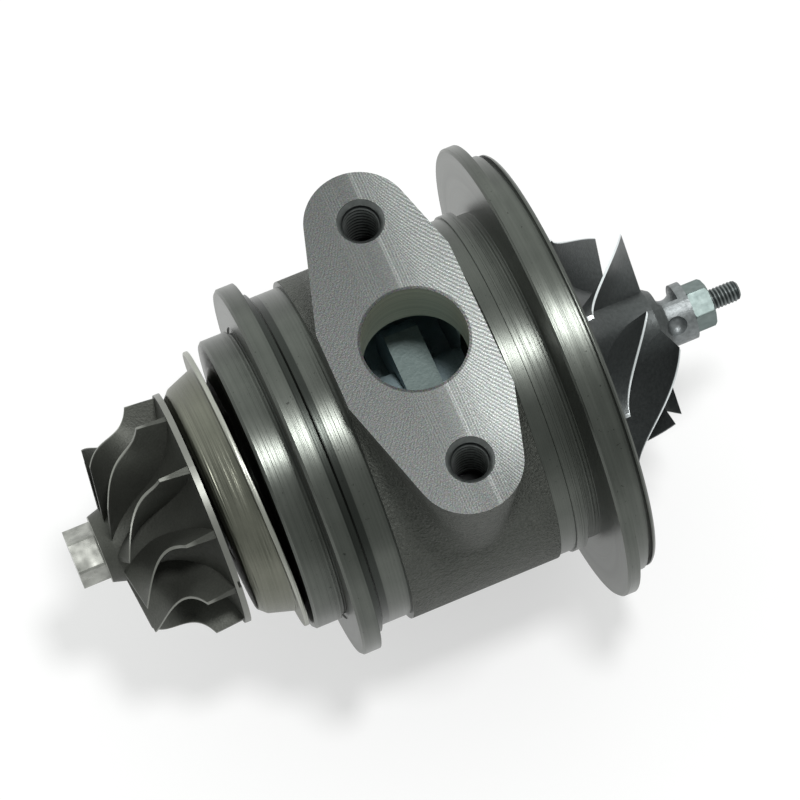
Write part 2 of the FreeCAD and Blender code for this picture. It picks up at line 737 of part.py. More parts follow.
def bearing_snap_rings():
    rings = []
    outer = cell.bearing_bore_radius + cell.ring_groove_depth - cell.snap_ring_side_clearance
    for side, centre_x in (("turbine", cell.turbine_bearing_x), ("compressor", cell.compressor_bearing_x)):
        for end, (left, right) in zip(("outer", "inner"), ring_groove_edges(centre_x)):
            rings.append(split_ring(f"{side}_{end}_snap_ring", left + cell.snap_ring_side_clearance,
                                    cell.snap_ring_width, cell.snap_ring_inner_radius, outer,
                                    cell.snap_ring_gap))
    group = doc.addObject("Part::Compound", "bearing_snap_rings")
    group.Links = rings
    return group


# Rotor: the shaft carries the turbine wheel at its left end, and the thrust collar, the spacer, the flinger
# sleeve and the compressor wheel are clamped on its stem by the nut.

def seal_groove(centre_x, width):
    half = (width + cell.seal_groove_clearance * 2) * 0.5
    return centre_x - half, centre_x + half


def thrust_stack():
    """Places along the stem where one clamped piece ends and the next begins."""
    collar_end = cell.thrust_shoulder_x + cell.thrust_collar_width
    spacer_end = collar_end + cell.thrust_bearing_width + cell.thrust_end_float * 2
    return collar_end, spacer_end


def rotor_shaft():
    groove_left, groove_right = seal_groove(cell.turbine_seal_x, cell.turbine_seal_width)
    waist_reach = cell.bearing_length * 0.5 + cell.shaft_waist_margin
    waist_left = cell.turbine_bearing_x + waist_reach
    waist_right = cell.compressor_bearing_x - waist_reach
    return turned_piece("rotor_shaft", [
        (cell.shaft_left_x, ZERO), (cell.shaft_left_x, cell.seal_hub_radius),
        (groove_left, cell.seal_hub_radius), (groove_left, cell.turbine_seal_groove_radius),
        (groove_right, cell.turbine_seal_groove_radius), (groove_right, cell.seal_hub_radius),
        (cell.seal_hub_end_x, cell.seal_hub_radius),
        (cell.shaft_shoulder_start_x, cell.shaft_shoulder_radius),
        (cell.shaft_shoulder_end_x, cell.shaft_shoulder_radius),
        (cell.shaft_journal_start_x, cell.journal_radius),
        (waist_left, cell.journal_radius), (waist_left, cell.shaft_waist_radius),
        (waist_right, cell.shaft_waist_radius), (waist_right, cell.journal_radius),
        (cell.thrust_shoulder_x, cell.journal_radius), (cell.thrust_shoulder_x, cell.stem_radius),
        (cell.compressor_end_x, cell.stem_radius), (cell.compressor_end_x, cell.stud_radius),
        (cell.stud_end_x - cell.stud_chamfer, cell.stud_radius),
        (cell.stud_end_x, cell.stud_radius - cell.stud_chamfer), (cell.stud_end_x, ZERO)])


def stem_pieces():
    bore = cell.stem_radius + cell.stem_fit
    collar_end, spacer_end = thrust_stack()
    disc_end = spacer_end + cell.flinger_disc_width
    groove_left, groove_right = seal_groove(cell.compressor_seal_x, cell.compressor_seal_width)
    collar = ring("thrust_collar", cell.thrust_shoulder_x, collar_end, bore, cell.thrust_collar_radius)
    spacer = ring("thrust_spacer", collar_end, spacer_end, bore, cell.thrust_spacer_radius)
    sleeve = turned_piece("flinger_sleeve", [
        (spacer_end, bore), (spacer_end, cell.thrust_collar_radius), (disc_end, cell.thrust_collar_radius),
        (disc_end, cell.flinger_radius), (groove_left, cell.flinger_radius),
        (groove_left, cell.compressor_seal_groove_radius), (groove_right, cell.compressor_seal_groove_radius),
        (groove_right, cell.flinger_radius), (cell.compressor_hub_left_x, cell.flinger_radius),
        (cell.compressor_hub_left_x, bore)])
    return [collar, spacer, sleeve]


# Thrust bearing, oil deflector and seal insert: they close the compressor end of the housing.

def thrust_bearing():
    right_x = cell.thrust_seat_x + cell.thrust_bearing_width
    body = ring("thrust_bearing", cell.thrust_seat_x, right_x, cell.thrust_bearing_bore_radius,
                cell.thrust_seat_radius - cell.thrust_seat_fit)
    holes = thrust_pin_sketch(body, "thrust_bearing_pin_holes_outline",
                              cell.thrust_pin_radius + cell.thrust_pin_fit, right_x)
    extrude(body, "PartDesign::Pocket", "thrust_bearing_pin_holes", holes, cell.thrust_bearing_width)
    notch = new_sketch(body, "YZ_Plane", "thrust_bearing_drain_notch_outline", right_x)
    half = cell.channel_half_width
    draw_outline(notch, [(-half, cell.channel_bottom_z), (half, cell.channel_bottom_z),
                         (half, cell.channel_top_z), (-half, cell.channel_top_z)])
    extrude(body, "PartDesign::Pocket", "thrust_bearing_drain_notch", notch, cell.thrust_bearing_width)
    return body


def thrust_bearing_pins():
    pins = []
    left_x = cell.thrust_seat_x + cell.thrust_bearing_width - cell.thrust_pin_length
    for name, centre_y in (("left_pin", -cell.thrust_pin_circle), ("right_pin", cell.thrust_pin_circle)):
        pin = doc.addObject("Part::Cylinder", name)
        tie(pin, "Radius", cell.thrust_pin_radius)
        tie(pin, "Height", cell.thrust_pin_length)
        pin.Placement = FreeCAD.Placement(FreeCAD.Vector(left_x.value, centre_y.value, 0),
                                          FreeCAD.Rotation(FreeCAD.Vector(0, 1, 0), 90))
        tie(pin, "Placement.Base.x", left_x)
        tie(pin, "Placement.Base.y", centre_y)
        pins.append(pin)
    group = doc.addObject("Part::Compound", "thrust_bearing_pins")
    group.Links = pins
    return group


def oil_deflector():
    """A sheet ring between the thrust bearing and the insert, with a tongue that leads oil to the drain."""
    left_x = cell.thrust_seat_x + cell.thrust_bearing_width
    outer = cell.thrust_seat_radius - cell.thrust_seat_fit
    body = ring("oil_deflector", left_x, left_x + cell.deflector_thickness, cell.deflector_bore_radius, outer)
    half = cell.deflector_tongue_half_width
    tongue = new_sketch(body, "YZ_Plane", "deflector_tongue_outline", left_x)
    root, tip = outer - cell.deflector_tongue_root, cell.channel_top_z - cell.deflector_tongue_margin
    draw_outline(tongue, [(-half, root), (half, root), (half, tip), (-half, tip)])
    extrude(body, "PartDesign::Pad", "deflector_tongue", tongue, cell.deflector_thickness)
    return body


def seal_insert():
    left_x, right_x = cell.insert_seat_x, cell.insert_right_x
    outer = cell.insert_bore_radius - cell.insert_fit
    pocket_x = left_x + cell.insert_pocket_depth
    groove_right = cell.oring_groove_left_x + cell.oring_groove_width
    return turned_piece("seal_insert", [
        (left_x, cell.insert_pocket_radius), (left_x, outer), (cell.oring_groove_left_x, outer),
        (cell.oring_groove_left_x, cell.oring_groove_radius), (groove_right, cell.oring_groove_radius),
        (groove_right, outer), (right_x, outer), (right_x, cell.insert_hub_bore_radius),
        (pocket_x, cell.insert_hub_bore_radius), (pocket_x, cell.insert_pocket_radius)])


def seal_insert_oring():
    """A round-section ring that fills the groove of the insert up to the housing bore."""
    space = cell.insert_bore_radius - cell.oring_groove_radius
    section = space * 0.5 - cell.oring_fit
    body = new_body("seal_insert_oring")
    sketch = new_sketch(body, "XZ_Plane", "oring_section")
    draw_circle(sketch, cell.oring_groove_left_x + cell.oring_groove_width * 0.5,
                cell.oring_groove_radius + space * 0.5, section)
    loop = body.newObject("PartDesign::Revolution", "oring_loop")
    loop.Profile = sketch
    loop.ReferenceAxis = (sketch, ["H_Axis"])
    loop.Angle = 360
    return body


def seal_rings():
    """Split rings that spring out against the nose bore and the bore of the insert."""
    turbine = split_ring("turbine_seal_ring", cell.turbine_seal_x - cell.turbine_seal_width * 0.5,
                         cell.turbine_seal_width, cell.turbine_seal_inner_radius,
                         cell.nose_bore_radius - cell.seal_ring_fit, cell.seal_ring_gap)
    compressor = split_ring("compressor_seal_ring", cell.compressor_seal_x - cell.compressor_seal_width * 0.5,
                            cell.compressor_seal_width, cell.compressor_seal_inner_radius,
                            cell.insert_hub_bore_radius - cell.seal_ring_fit, cell.seal_ring_gap)
    retainer = split_ring("seal_insert_snap_ring", cell.insert_right_x + cell.retainer_clearance,
                          cell.retainer_width, cell.retainer_inner_radius,
                          cell.retainer_groove_radius - cell.retainer_clearance, cell.retainer_gap)
    return [turbine, compressor, retainer]


# Heat shield: a pressed steel dish that hangs loosely on the nose of the housing, a little out of square.

def heat_shield():
    # shares of the sheet's thickness that offset each inner corner, by the slope of the sheet there
    flange_share, wall_share, shoulder_share, face_share = 0.5, 0.9, 0.8, 0.4
    sheet_thickness = cell.shield_thickness
    body = turned_piece("heat_shield", [
        (cell.shield_face_x, cell.shield_bore_radius), (cell.shield_face_x, cell.shield_face_radius),
        (cell.shield_shoulder_x, cell.shield_shoulder_radius),
        (cell.shield_wall_end_x, cell.shield_wall_end_radius),
        (cell.shield_rim_x - sheet_thickness * flange_share, cell.shield_rim_radius),
        (cell.shield_rim_x + sheet_thickness * flange_share, cell.shield_rim_radius),
        (cell.shield_wall_end_x + sheet_thickness, cell.shield_wall_end_radius - sheet_thickness * wall_share),
        (cell.shield_shoulder_x + sheet_thickness * shoulder_share,
         cell.shield_shoulder_radius - sheet_thickness),
        (cell.shield_face_x + sheet_thickness, cell.shield_face_radius - sheet_thickness * face_share),
        (cell.shield_face_x + sheet_thickness, cell.shield_bore_radius)])
    # the rim leans away from the housing on the side that the tilt faces
    towards = math.radians(cell.shield_tilt_towards.value)
    pivot = FreeCAD.Vector(cell.shield_face_x.value, 0, 0)
    hinge = FreeCAD.Vector(0, math.cos(towards), -math.sin(towards))
    tilt = FreeCAD.Rotation(hinge, -cell.shield_tilt.value)
    body.Placement = FreeCAD.Placement(pivot - tilt.multVec(pivot), tilt)
    return body


# Bladed wheels: each is one casting, a turned hub with blades that stand on it. A blade is a closed shell
# over two curves along the hub and two along its tip, and its section is thicker at the root.

CURVE_STEPS = 8


def meridian_curve(ends):
    """A smooth curve in the XZ plane along a cubic of (x, radius) control points."""
    places = [bezier(ends, step / CURVE_STEPS) for step in range(CURVE_STEPS + 1)]
    curve = Part.BSplineCurve()
    curve.interpolate([FreeCAD.Vector(x, 0, radius) for x, radius in places])
    return curve.toShape()


def revolved_hub(before, hub_ends, after):
    """Revolve straight corners, the hub curve and more straight corners into a solid hub."""
    def vector(corner):
        return FreeCAD.Vector(corner[0], 0, corner[1])

    edges = [Part.makeLine(vector(a), vector(b)) for a, b in zip(before, before[1:] + [hub_ends[0]])]
    edges.append(meridian_curve(hub_ends))
    tail = [hub_ends[-1]] + after
    edges += [Part.makeLine(vector(a), vector(b)) for a, b in zip(tail, tail[1:] + [before[0]])]
    face = Part.Face(Part.Wire(edges))
    return face.revolve(FreeCAD.Vector(0, 0, 0), FreeCAD.Vector(1, 0, 0), 360)


def blade(hub_ends, tip_ends, wrap, first_share, root_half, tip_half):
    """One blade between its hub and tip cubics, wrap(share, x) giving its angle, sunk a little into the hub."""
    shares = [first_share + (1 - first_share) * step / CURVE_STEPS for step in range(CURVE_STEPS + 1)]

    def side_curve(ends, half, sign, depth):
        points = []
        for share in shares:
            x, radius = bezier(ends, share)
            lean = math.degrees(sign * half / radius)
            points.append(around(x, radius - depth, wrap(share, x) + lean))
        curve = Part.BSplineCurve()
        curve.interpolate(points)
        return curve.toShape()

    corners = [side_curve(hub_ends, root_half, sign, cell.blade_sink.value) for sign in (1, -1)]
    corners += [side_curve(tip_ends, tip_half, sign, 0.0) for sign in (-1, 1)]
    faces = [Part.makeRuledSurface(one, other) for one, other in zip(corners, corners[1:] + corners[:1])]
    for end in (0, -1):
        loop = [curve.Vertexes[end].Point for curve in corners]
        sides = [Part.makeLine(a, b) for a, b in zip(loop, loop[1:] + loop[:1])]
        faces.append(Part.makeRuledSurface(sides[0], Part.makeLine(loop[3], loop[2])))
    shell = Part.makeShell(faces)
    shell.sewShape()
    solid = Part.makeSolid(shell)
    if solid.Volume < 0:
        solid.reverse()
    return solid


def turned_about_shaft(shape, degrees):
    copy = shape.copy()
    copy.rotate(FreeCAD.Vector(0, 0, 0), FreeCAD.Vector(1, 0, 0), -degrees)
    return copy


def wheel_feature(label, shape):
    feature = doc.addObject("Part::Feature", label)
    feature.Label = label
    feature.Shape = shape
    feature.Placement = FreeCAD.Placement()
    return feature


def hexagon_prism(left_x, width, flats, turned_by):
    corner = flats / 2 / math.cos(math.pi / 6)
    points = [around(left_x, corner, turned_by + 60 * side) for side in range(7)]
    return Part.Face(Part.makePolygon(points)).extrude(FreeCAD.Vector(width, 0, 0))


def turbine_wheel():
    rim, exit_hub = cell.turbine_rim_radius.value, cell.turbine_exit_hub_radius.value
    back = cell.turbine_back_x.value
    disc = back - cell.turbine_rim_width.value
    exit_x = cell.turbine_exit_hub_x.value
    hub_ends = [(disc, rim), (disc - cell.turbine_hub_start_lean.value, cell.turbine_hub_start_radius.value),
                (exit_x + cell.turbine_hub_end_reach.value, cell.turbine_hub_end_radius.value),
                (exit_x, exit_hub)]
    tip_left, tip_exit = cell.turbine_tip_left_x.value, cell.turbine_exit_tip_x.value
    exit_radius = cell.turbine_exit_tip_radius.value
    tip_ends = [(tip_left, rim), (tip_left - cell.turbine_shroud_lean.value,
                                  exit_radius + cell.turbine_shroud_margin.value),
                (tip_left - cell.turbine_shroud_reach.value, exit_radius), (tip_exit, exit_radius)]
    wrap_start = cell.turbine_wrap_start_x.value
    wrap_length = wrap_start - tip_exit

    def wrap(share, x):
        reached = max(0.0, (wrap_start - x) / wrap_length)
        return -cell.turbine_wrap.value * reached ** cell.turbine_wrap_power.value

    collar_end, collar = cell.turbine_collar_end_x.value, cell.turbine_collar_radius.value
    seat = cell.seal_hub_radius.value
    shaft_x = cell.shaft_left_x.value
    hub = revolved_hub([(shaft_x, 0), (shaft_x, seat), (back, seat), (back, rim)], hub_ends,
                       [(collar_end, collar), (collar_end, 0)])
    one = blade(hub_ends, tip_ends, wrap, 0.0, cell.turbine_root_thickness.value / 2,
                cell.turbine_tip_thickness.value / 2)
    count = int(cell.turbine_blades.value)
    blades = [turned_about_shaft(one, cell.turbine_first_blade.value + 360 / count * number)
              for number in range(count)]
    drive_x = cell.turbine_drive_end_x.value
    drive = hexagon_prism(drive_x, collar_end - drive_x, cell.turbine_drive_flats.value,
                          cell.turbine_drive_turn.value)
    drive = drive.common(Part.makeCylinder(cell.turbine_drive_corner_radius.value, collar_end - drive_x,
                                           FreeCAD.Vector(drive_x, 0, 0), FreeCAD.Vector(1, 0, 0)))
    wheel = hub.multiFuse(blades + [drive])
    notch_width, notch_depth = cell.balance_notch_width.value, cell.balance_notch_depth.value
    notch = Part.makeBox(cell.turbine_rim_width.value, notch_width, notch_depth * 2,
                         FreeCAD.Vector(back - cell.turbine_rim_width.value / 2, -notch_width / 2,
                                        rim - notch_depth))
    wheel = wheel.cut(turned_about_shaft(notch, cell.balance_notch_angle.value))
    return wheel_feature("turbine_wheel", wheel)


def compressor_wheel():
    exit_radius, disc = cell.compressor_exit_radius.value, cell.compressor_exit_disc_x.value
    inlet_x, inlet_hub = cell.compressor_inlet_x.value, cell.compressor_inlet_hub_radius.value
    inlet = cell.compressor_inlet_radius.value
    tip_x = cell.compressor_exit_tip_x.value
    hub_ends = [(disc, exit_radius),
                (disc + cell.compressor_hub_start_lean.value, cell.compressor_hub_start_radius.value),
                (inlet_x - cell.compressor_hub_end_reach.value, cell.compressor_hub_end_radius.value),
                (inlet_x, inlet_hub)]
    hub_inwards = hub_ends[::-1]
    tip_ends = [(inlet_x, inlet), (inlet_x - cell.compressor_shroud_reach.value, inlet),
                (tip_x + cell.compressor_shroud_lean.value, exit_radius - cell.compressor_shroud_depth.value),
                (tip_x, exit_radius)]

    def wrap(share, x):
        return -(cell.compressor_wrap_first.value * share + cell.compressor_wrap_second.value * share ** 2)

    bore = cell.stem_radius.value + cell.stem_fit.value
    left_x, back = cell.compressor_hub_left_x.value, cell.compressor_back_x.value
    hub_back = cell.compressor_hub_back_radius.value
    nose_x, nose, end_x = (cell.compressor_nose_x.value, cell.compressor_nose_radius.value,
                           cell.compressor_end_x.value)
    hub = revolved_hub([(left_x, bore), (left_x, hub_back), (back, hub_back), (back, exit_radius)], hub_ends,
                       [(nose_x, nose), (end_x, nose), (end_x, bore)])
    root, tip = cell.compressor_root_thickness.value / 2, cell.compressor_tip_thickness.value / 2
    start = cell.compressor_splitter_start.value
    full = blade(hub_inwards, tip_ends, wrap, 0.0, root, tip)
    splitter = blade(hub_inwards, tip_ends, wrap, start, root, tip)
    count = int(cell.compressor_full_blades.value)
    pitch = 360 / count
    first = cell.compressor_first_blade.value
    blades = [turned_about_shaft(full, first + pitch * number) for number in range(count)]
    blades += [turned_about_shaft(splitter, first + pitch * (number + 0.5)) for number in range(count)]
    wheel = hub.multiFuse(blades)
    scallop = Part.makeTorus(cell.balance_cut_ring.value, cell.balance_cut_radius.value,
                             FreeCAD.Vector(cell.balance_cut_x.value, 0, 0), FreeCAD.Vector(1, 0, 0),
                             0, 360, cell.balance_cut_sweep.value)
    scallop = turned_about_shaft(scallop, cell.balance_cut_from.value + cell.balance_cut_sweep.value)
    pit = Part.makeSphere(cell.balance_pit_radius.value,
                          around(cell.balance_cut_x.value, cell.balance_pit_centre.value,
                                 cell.balance_pit_angle.value))
    return wheel_feature("compressor_wheel", wheel.cut([scallop, pit]))


def shaft_nut():
    """A hexagon nut with turned corners, tight against the end of the compressor wheel."""
    left_x, width = cell.compressor_end_x.value, cell.nut_width.value
    flats, corner = cell.nut_flats.value, cell.nut_chamfer_radius.value
    prism = hexagon_prism(left_x, width, flats, cell.nut_turn.value)
    reach = flats / 2 / math.cos(math.pi / 6) - corner
    axis = FreeCAD.Vector(1, 0, 0)
    blank = Part.makeCylinder(corner + reach, width - 2 * reach, FreeCAD.Vector(left_x + reach, 0, 0), axis)
    ends = [Part.makeCone(corner, corner + reach, reach, FreeCAD.Vector(left_x, 0, 0), axis),
            Part.makeCone(corner + reach, corner, reach, FreeCAD.Vector(left_x + width - reach, 0, 0), axis)]
    bore = Part.makeCylinder(cell.stud_radius.value + cell.stem_fit.value, width,
                             FreeCAD.Vector(left_x, 0, 0), axis)
    return wheel_feature("shaft_nut", prism.common(blank.multiFuse(ends)).cut(bore))


# Build and export

nodes = [bearing_housing(), journal_bearing("turbine_journal_bearing", cell.turbine_bearing_x),
         journal_bearing("compressor_journal_bearing", cell.compressor_bearing_x), bearing_snap_rings(),
         rotor_shaft(), thrust_bearing(), thrust_bearing_pins(), oil_deflector(), seal_insert(),
         seal_insert_oring(), heat_shield(), turbine_wheel(), compressor_wheel(), shaft_nut()]
nodes += stem_pieces()
nodes += seal_rings()
doc.recompute()

for item in doc.Objects:
    if "Invalid" in item.State or "Error" in item.State:
        raise RuntimeError(f"{item.Name} did not build: {item.State}")
for node in nodes:
    if node.Shape.isNull() or not node.Shape.isValid():
        raise RuntimeError(f"{node.Label} has no valid shape")
    node.Shape.exportStep(f"parts/{node.Label}.step")
    print(node.Label, len(node.Shape.Solids), "solids", round(node.Shape.Volume, 1), "mm3")
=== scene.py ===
import math
import bpy
from mathutils import Matrix, Vector


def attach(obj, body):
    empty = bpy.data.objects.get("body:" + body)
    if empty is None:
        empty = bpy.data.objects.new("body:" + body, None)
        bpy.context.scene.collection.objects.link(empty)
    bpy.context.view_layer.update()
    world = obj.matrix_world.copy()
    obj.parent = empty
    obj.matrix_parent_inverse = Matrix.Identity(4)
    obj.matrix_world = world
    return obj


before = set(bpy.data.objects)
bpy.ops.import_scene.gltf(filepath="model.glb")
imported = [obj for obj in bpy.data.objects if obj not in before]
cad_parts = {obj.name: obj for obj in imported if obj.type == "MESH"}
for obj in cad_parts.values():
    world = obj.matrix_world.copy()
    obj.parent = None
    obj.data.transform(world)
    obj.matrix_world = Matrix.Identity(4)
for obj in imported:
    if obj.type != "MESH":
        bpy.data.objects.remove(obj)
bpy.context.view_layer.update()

# Camera: it looks down on the drain pad from the turbine side, from about seventy centimetres, along the
# angles at which the cartridge was photographed.
aim = Vector((-0.0239, 0.0, 0.0))
azimuth, elevation, roll = (math.radians(angle) for angle in (-18.412, 69.141, -4.892))
shift_right, shift_up = 0.003718, -0.003397
camera_distance = 0.684285
camera_lens = 169.9
nearest_seen = 0.01
back = Vector((math.sin(azimuth) * math.cos(elevation),
               -math.cos(azimuth) * math.cos(elevation),
               math.sin(elevation)))
level = Vector((math.cos(azimuth), math.sin(azimuth), 0.0))
upright = back.cross(level)
right = level * math.cos(roll) + upright * math.sin(roll)
up = upright * math.cos(roll) - level * math.sin(roll)
camera = bpy.data.objects.new("camera", bpy.data.cameras.new("camera"))
camera.data.lens = camera_lens
camera.data.clip_start = nearest_seen
place = aim - right * shift_right - up * shift_up + back * camera_distance
camera.matrix_world = Matrix.Translation(place) @ Matrix((right, up, back)).transposed().to_4x4()
bpy.context.scene.collection.objects.link(camera)
bpy.context.scene.camera = camera
bpy.context.scene.view_settings.view_transform = "Standard"


# Bearing housing: one grey iron casting. Its middle and the sides of the drain boss are left rough from the
# sand, the bands and flanges are turned in a lathe, and the pad is milled and drilled.
class Level:
    """One number or colour per point of a surface; arithmetic on a number adds Math nodes to its material."""

    def __init__(self, nodes, socket):
        self.nodes, self.socket = nodes, socket

    def math(self, operation, *values):
        return self.nodes.node("ShaderNodeMath", {"operation": operation}, dict(enumerate(values)))

    def __add__(self, other):
        return self.math("ADD", self, other)

    def __sub__(self, other):
        return self.math("SUBTRACT", self, other)

    def __rsub__(self, other):
        return self.math("SUBTRACT", other, self)

    def __mul__(self, other):
        return self.math("MULTIPLY", self, other)

    def __truediv__(self, other):
        return self.math("DIVIDE", self, other)

    def __abs__(self):
        return self.math("ABSOLUTE", self)

    __radd__ = __add__
    __rmul__ = __mul__

    def above(self, edge, soft=0.02):
        """1 where the number is over the edge and 0 under it, with a soft step that wide on both sides."""
        return self.nodes.node("ShaderNodeMapRange", {"interpolation_type": "SMOOTHSTEP"},
                               {"Value": self, "From Min": edge - soft, "From Max": edge + soft})

    def below(self, edge, soft=0.02):
        return 1.0 - self.above(edge, soft)

    def between(self, low, high, soft=0.02):
        return self.above(low, soft) * self.below(high, soft)

    def root(self):
        return self.math("SQRT", self)

    def wave(self):
        """Goes from 0 to 1 and back each time that the number grows by a full turn in radians."""
        return self.math("SINE", self) * 0.5 + 0.5

    def most(self, other):
        return self.math("MAXIMUM", self, other)

    def least(self, other):
        return self.math("MINIMUM", self, other)


class Nodes:
    """The nodes of one material or of the world."""

    def __init__(self, tree):
        self.tree = tree

    def node(self, kind, settings, sockets, output=0):
        """Adds a node with its settings, then its socket values or links, and returns one of its outputs."""
        made = self.tree.nodes.new(kind)
        for name, value in settings.items():
            if name == "curve":
                self.draw_curve(made.mapping, value)
            else:
                setattr(made, name, value)
        for name, value in sockets.items():
            self.connect(value, made.inputs[name])
        return Level(self, made.outputs[output])

    def draw_curve(self, mapping, stops):
        """Gives a Float Curve its points, from left to right."""
        points = mapping.curves[0].points
        points[0].location, points[1].location = stops[0], stops[-1]
        for stop in stops[1:-1]:
            points.new(*stop)
        mapping.update()

    def connect(self, value, socket):
        if isinstance(value, Level):
            self.tree.links.new(value.socket, socket)
        elif hasattr(socket.default_value, "__len__") and len(value) < len(socket.default_value):
            socket.default_value = (*value, 1.0)
        else:
            socket.default_value = value

    def split(self, vector):
        """The three numbers of a vector."""
        return [self.node("ShaderNodeSeparateXYZ", {}, {0: vector}, axis) for axis in ("X", "Y", "Z")]

    def mix(self, share, first, second):
        """Colour that goes from the first to the second with share."""
        return self.node("ShaderNodeMix", {"data_type": "RGBA"}, {"Factor": share, 6: first, 7: second}, 2)


class Finish(Nodes):
    """One material. Places on the piece are in millimetres in the cartridge's own frame."""

    def __init__(self, name, **constants):
        self.material = bpy.data.materials.new(name)
        self.material.use_nodes = True
        super().__init__(self.material.node_tree)
        self.shader = self.tree.nodes["Principled BSDF"]
        self.sockets = {socket.name.lower(): socket for socket in self.shader.inputs}
        for constant, value in constants.items():
            self.sockets[constant.replace("_", " ")].default_value = value
        metres = self.node("ShaderNodeTexCoord", {}, {}, "Object")
        self.place = self.node("ShaderNodeVectorMath", {"operation": "SCALE"}, {0: metres, "Scale": 1000.0})
        self.x, self.y, self.z = self.split(self.place)
        self.radius = (self.y * self.y + self.z * self.z).root()

    def set(self, **levels):
        """Feeds sockets of the shader, such as base_color or roughness."""
        for name, value in levels.items():
            self.connect(value, self.sockets[name.replace("_", " ")])

    def grain(self, size, detail=2.0, place=None, output=0):
        """Noise from 0 to 1 with grains of that size in millimetres."""
        return self.node("ShaderNodeTexNoise", {},
                         {"Vector": place or self.place, "Scale": 1.0 / size, "Detail": detail}, output)

    def spot(self, *axes):
        """A place put together from one to three numbers."""
        return self.node("ShaderNodeCombineXYZ", {}, dict(enumerate(axes)))

    def turning(self, pitch, detail=2.0):
        """Noise in rings about the shaft, as a lathe tool leaves them on cylinders and faces."""
        return self.grain(pitch, detail, self.spot(self.x, self.radius))

    def away(self, x, y):
        """Distance from an upright axis through that place."""
        along, across = self.x - x, self.y - y
        return (along * along + across * across).root()

    def relief(self, height):
        """Normals of a surface that stands that many millimetres high."""
        return self.node("ShaderNodeBump", {}, {"Distance": 0.001, "Height": height})

    def dress(self, *pieces):
        """Puts the material on pieces, given as objects or as names of CAD nodes."""
        for piece in pieces:
            mesh = piece.data if hasattr(piece, "data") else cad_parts[piece].data
            mesh.materials.clear()
            mesh.materials.append(self.material)


def soften(name, width):
    """Breaks the sharp edges of a CAD piece by a small round that catches the light."""
    sharpest, joined_within, all_by_area = math.radians(25.0), 1e-6, 100
    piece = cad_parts[name]
    weld = piece.modifiers.new("joined", "WELD")
    weld.merge_threshold = joined_within
    bevel = piece.modifiers.new("edges", "BEVEL")
    bevel.width = width / 1000.0
    bevel.segments = 2
    bevel.limit_method = "ANGLE"
    bevel.angle_limit = sharpest
    shading = piece.modifiers.new("shading", "WEIGHTED_NORMAL")
    shading.weight = all_by_area


bore_x, bore_radius, bore_end_z = -23.9, 9.4, 26.3
tap_reach, tap_radius, tap_chamfer_radius, tap_end_z = 24.0, 3.4, 4.35, 22.0
pad_z, pad_right_x = 39.1, -8.5
cast_left, cast_right, cast_radius, inlet_face_z = -39.2, -10.5, 32.8, -37.45
cavity_left, cavity_right, cavity_radius, bearing_tube_radius = -39.5, -12.8, 28.1, 8.0
rib_left, rib_right, rib_z = -25.5, -18.8, 12.0
step_left, step_right = -46.7, -43.5
margin = 0.05
iron = Finish("housing_iron")
pad = iron.z.above(pad_z - margin) * iron.x.below(pad_right_x)
under_pad = 1.0 - pad
from_bore = iron.away(bore_x, 0.0)
from_taps = iron.away(bore_x, tap_reach).least(iron.away(bore_x, -tap_reach))
bore = iron.z.above(bore_end_z) * from_bore.below(bore_radius + margin) * under_pad
taps = iron.z.above(tap_end_z) * from_taps.below(tap_chamfer_radius) * under_pad
cast_band = iron.x.between(cast_left + margin, cast_right - margin)
cast_band = cast_band * iron.z.between(inlet_face_z, pad_z - margin)
cast_outside = cast_band * iron.radius.above(cast_radius - 0.2)
cavity_walls = iron.radius.between(bearing_tube_radius, cavity_radius)
cast_inside = iron.x.between(cavity_left, cavity_right) * cavity_walls
drilled = bore.most(taps)
cast = cast_outside.most(cast_inside) * (1.0 - drilled)
turned = (1.0 - cast) * (1.0 - pad) * (1.0 - drilled)
rib = iron.z.between(rib_z - 0.1, rib_z + 0.1) * iron.x.between(rib_left, rib_right) * cast_inside
shadowed_step = iron.x.between(step_left, step_right, 0.12)

turned_dark, turned_light = (0.052, 0.058, 0.052), (0.135, 0.144, 0.130)
step_shade, pit_shade = (0.014, 0.017, 0.015), (0.02, 0.022, 0.02)
cast_dark, cast_light = (0.016, 0.019, 0.016), (0.120, 0.127, 0.112)
cavity_painted_shade, cavity_painted_light = (0.26, 0.34, 0.36), (0.60, 0.70, 0.70)
rib_dark, rib_light = (0.09, 0.13, 0.125), (0.21, 0.265, 0.255)
fine_rings = iron.turning(0.18, 1.0)
rings = iron.turning(0.42, 2.0)
bands = iron.turning(2.4, 1.0)
stains = iron.grain(6.0, 4.0)
smudges = iron.grain(1.1, 3.0)
pits = iron.grain(0.55, 2.0).above(0.72, 0.03)
sand = iron.grain(0.5, 5.0)
lumps = iron.grain(2.6, 2.0)
turned_colour = iron.mix(stains * 0.5 + rings * 0.5, turned_dark, turned_light)
# Painted shade: the band beside the turbine flange, where a recess lies in shade, is darkened in colour.
turned_colour = iron.mix(shadowed_step * 0.75, turned_colour, step_shade)
turned_colour = iron.mix(pits * 0.7, turned_colour, pit_shade)
cast_colour = iron.mix(sand * 0.7 + stains * 0.3, cast_dark, cast_light)
# Painted light and shade: the cast walls inside the cavity get a far lighter colour than the outside casting,
# lighter above the rib and darker below it.
cavity_painted_light_and_shade = iron.mix(iron.z.above(rib_z + 0.3), cavity_painted_shade, cavity_painted_light)
cast_colour = iron.mix(cast_inside, cast_colour, cavity_painted_light_and_shade)
rib_colour = iron.mix(smudges * 0.5 + lumps * 0.5, rib_dark, rib_light)
